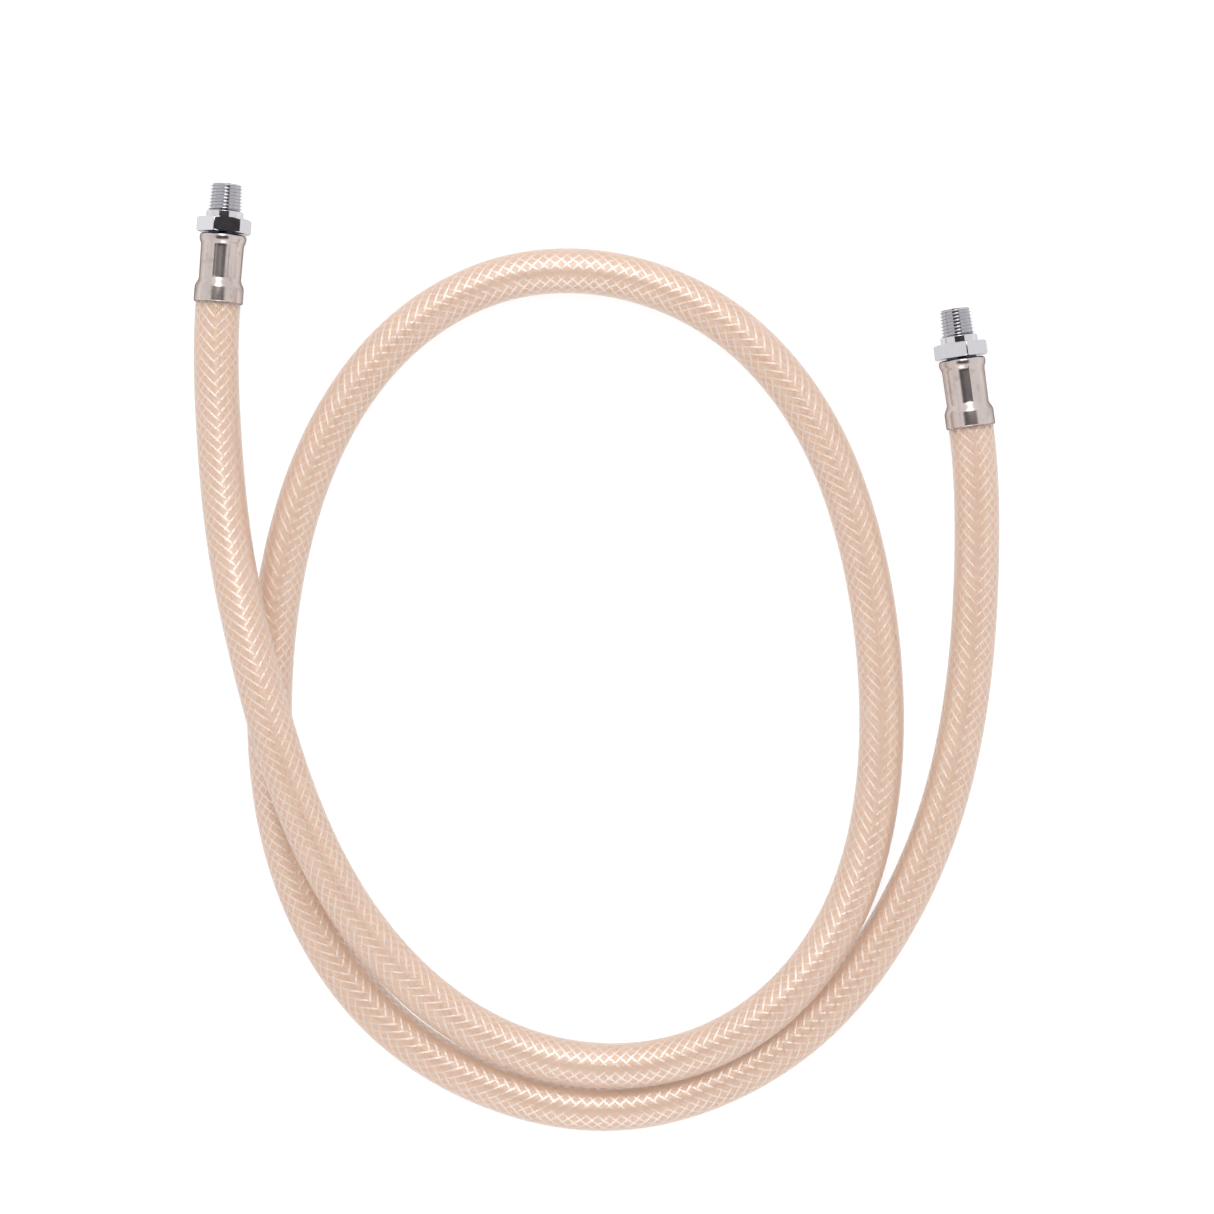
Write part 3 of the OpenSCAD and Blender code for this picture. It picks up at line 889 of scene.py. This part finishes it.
def new_softbox(name, power, size, aim, lean, bearing, distance):
    """A rectangular lamp that leans from straight up towards a bearing and looks at aim.

    lean and bearing are in degrees, the bearing turning from +X to +Y.
    """
    data = bpy.data.lights.new(name, "AREA")
    data.shape = "RECTANGLE"
    data.size, data.size_y = size
    data.energy = power
    lamp = bpy.data.objects.new(name, data)
    tilt, turn = math.radians(lean), math.radians(bearing)
    way = np.array([math.sin(tilt) * math.cos(turn), math.sin(tilt) * math.sin(turn),
                    math.cos(tilt)])
    lamp.location = np.array(aim) + distance * way
    lamp.rotation_euler = (0, tilt, turn)
    lamp.visible_camera = False
    bpy.context.scene.collection.objects.link(lamp)
    return lamp


def make_stage(stage):
    """Camera straight above, white table, white surroundings, three softboxes and a
    dark ceiling."""
    scene = bpy.context.scene
    x, y = stage.middle
    camera = bpy.data.objects.new("camera", bpy.data.cameras.new("camera"))
    camera.data.lens = stage.lens
    camera.location = (x, y, stage.camera_height)
    scene.collection.objects.link(camera)
    scene.camera = camera

    reach, drop = 4.0, 0.1 * MM
    flat_sheet("table", [(x - reach, y - reach, -drop), (x + reach, y - reach, -drop),
                         (x + reach, y + reach, -drop), (x - reach, y + reach, -drop)],
               white_table())
    ceiling, half_width, near, far = 4.0, 2.4, 1.5, 0.9
    card = flat_sheet("ceiling_card", [
        (x - half_width, y - near, ceiling), (x - half_width, y + far, ceiling),
        (x + half_width, y + far, ceiling), (x + half_width, y - near, ceiling)],
        matt_black_card())
    card.visible_camera = False

    for name, power, size, lean, bearing in (
            ("key_softbox", stage.key_power, (2.1, 1.7), 30, 90),
            ("back_softbox", stage.back_power, (6.0, 1.3), 42, 90),
            ("front_softbox", stage.front_power, (6.4, 1.6), 75, -90)):
        new_softbox(name, power, size, (x, 0, 0), lean, bearing, distance=4.0)

    world = bpy.data.worlds.new("white_room")
    scene.world = world
    world.use_nodes = True
    tree = world.node_tree
    tree.nodes.clear()
    even, white = (
        add_node(tree, "ShaderNodeBackground", {"Color": colour("#FFFFFF"), "Strength": level})
        for level in (stage.fill, 1.0))
    choice = add_node(tree, "ShaderNodeMixShader", {
        0: seen_ray(tree), 1: even.outputs[0], 2: white.outputs[0]})
    add_node(tree, "ShaderNodeOutputWorld", {"Surface": choice.outputs[0]})
    scene.view_settings.view_transform = "Standard"
    scene.cycles.blur_glossy = 0.0


# ---- operators -----------------------------------------------------------------------------
class HOSE_OT_stage(bpy.types.Operator):
    """Makes the camera, the table and the light"""

    bl_idname = "braided_hose.stage"
    bl_label = "Stage"

    def execute(self, context):
        make_stage(context.scene.hose_stage)
        return {"FINISHED"}


class HOSE_OT_hose(bpy.types.Operator):
    """Makes the clear hose: the inner tube, the yarns of both hands and the cover"""

    bl_idname = "braided_hose.hose"
    bl_label = "Hose"

    def execute(self, context):
        hose, fitting = context.scene.braided_hose, context.scene.hose_fitting
        bore, liner, _, outer = hose_radii(hose)
        line = HoseLine(hose, fitting)
        sunk = 0.02 * MM
        inner_tube = hose_layer(
            "inner_tube", line, bore, liner, rows=600, columns=40, lead=hose.braid_lead,
            material=extruded_vinyl_tube(hose), replaced="hose_liner",
            slot="clear_vinyl_inner")
        yarn = braided_polyester_yarn(hose)
        yarns = [braid_yarns(name, line, hose, hand, material=yarn, replaced="hose_braid",
                             slot="polyester_yarn")
                 for name, hand in (("right_hand_yarns", 1), ("left_hand_yarns", -1))]
        cover = hose_layer(
            "cover", line, liner - sunk, outer, rows=840, columns=56, lead=hose.braid_lead,
            material=clear_vinyl_cover(hose), replaced="hose_cover",
            slot="clear_vinyl_outer")
        return {"FINISHED"}


class HOSE_OT_stems(bpy.types.Operator):
    """Makes the plated stem of each end: thread, collar, hexagon and barbed tail"""

    bl_idname = "braided_hose.stems"
    bl_label = "Stems"

    def execute(self, context):
        fitting = context.scene.hose_fitting
        plate = bright_nickel_plate(fitting)
        for side in ENDS:
            new_fitting_piece(f"{side}_threaded_stem", side, stem_surface, fitting,
                              material=plate, replaced=f"{side}_stem",
                              slot="nickel_plate")
        return {"FINISHED"}


class HOSE_OT_ferrules(bpy.types.Operator):
    """Makes the crimped ferrule of each end"""

    bl_idname = "braided_hose.ferrules"
    bl_label = "Ferrules"

    def execute(self, context):
        fitting = context.scene.hose_fitting
        steel = drawn_stainless_steel(fitting)
        for side in ENDS:
            new_fitting_piece(f"{side}_crimped_ferrule", side, ferrule_surface, fitting,
                              material=steel, replaced=f"{side}_ferrule",
                              slot="stainless_steel")
        return {"FINISHED"}


class HOSE_PT_panel(bpy.types.Panel):
    """Lists the settings and the steps that make the hose assembly"""

    bl_idname = "HOSE_PT_panel"
    bl_label = "Braided hose"
    bl_space_type = "VIEW_3D"
    bl_region_type = "UI"
    bl_category = "Hose"

    def draw(self, context):
        for group in (context.scene.braided_hose, context.scene.hose_fitting,
                      context.scene.hose_stage):
            box = self.layout.box()
            for name in group.__annotations__:
                box.prop(group, name)
        for operator in OPERATORS:
            self.layout.operator(operator.bl_idname)


OPERATORS = (HOSE_OT_stage, HOSE_OT_hose, HOSE_OT_stems, HOSE_OT_ferrules)
GROUPS = {"braided_hose": HoseSettings, "hose_fitting": FittingSettings,
          "hose_stage": StageSettings}


def register():
    """Registers the settings, the operators and the panel."""
    for group in GROUPS.values():
        bpy.utils.register_class(group)
    for operator in OPERATORS:
        bpy.utils.register_class(operator)
    bpy.utils.register_class(HOSE_PT_panel)
    for name, group in GROUPS.items():
        setattr(bpy.types.Scene, name, bpy.props.PointerProperty(type=group))


def unregister():
    """Takes away what register added."""
    for name in GROUPS:
        delattr(bpy.types.Scene, name)
    for known in (HOSE_PT_panel, *OPERATORS, *GROUPS.values()):
        bpy.utils.unregister_class(known)


def main():
    """Makes the stage and every piece."""
    register()
    bpy.ops.braided_hose.stage()
    bpy.ops.braided_hose.hose()
    bpy.ops.braided_hose.stems()
    bpy.ops.braided_hose.ferrules()


if __name__ == "__main__":
    main()
